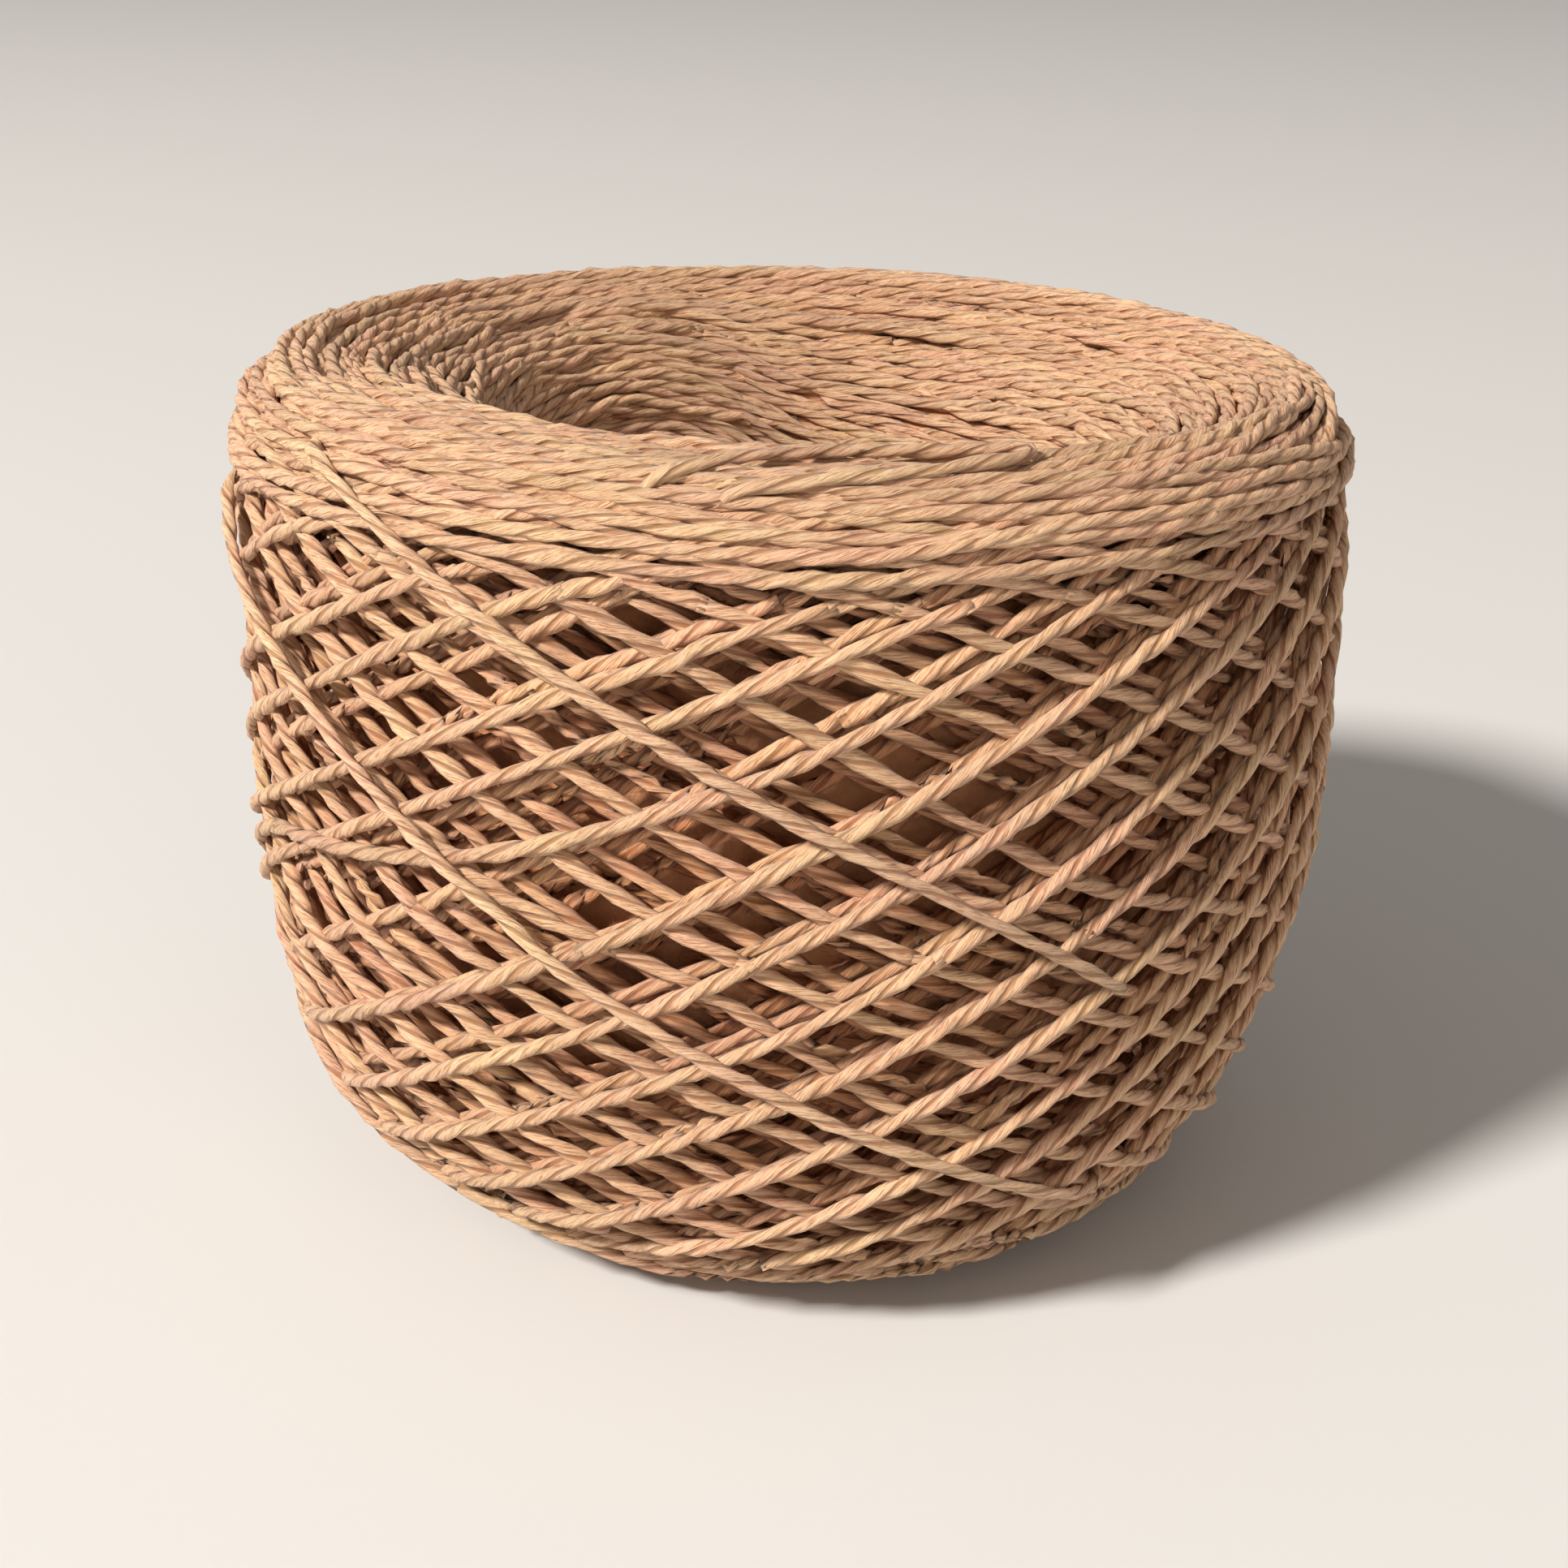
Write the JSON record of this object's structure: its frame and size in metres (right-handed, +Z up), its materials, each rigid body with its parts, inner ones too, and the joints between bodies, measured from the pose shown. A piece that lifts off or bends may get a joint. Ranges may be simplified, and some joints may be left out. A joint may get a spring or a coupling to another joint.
{
  "type": "ball of paper raffia yarn",
  "caption": "Ball of twisted paper raffia yarn, wound criss-cross round a hollow middle, with a dished top and a narrower foot that it stands on.",
  "frame": {"origin": "middle of the bounding box, on the surface that the ball stands on", "axes": "+Z up through the hollow middle, -Y towards the side that shows, +X to that side's right"},
  "size_m": [0.1458, 0.1446, 0.1148],
  "materials": {
    "raffia_yarn": "matt twisted paper with a soft sheen along its creases, pinkish beige"
  },
  "bodies": {
    "root": {"yarn_ball": "raffia_yarn"}
  },
  "joints": []
}
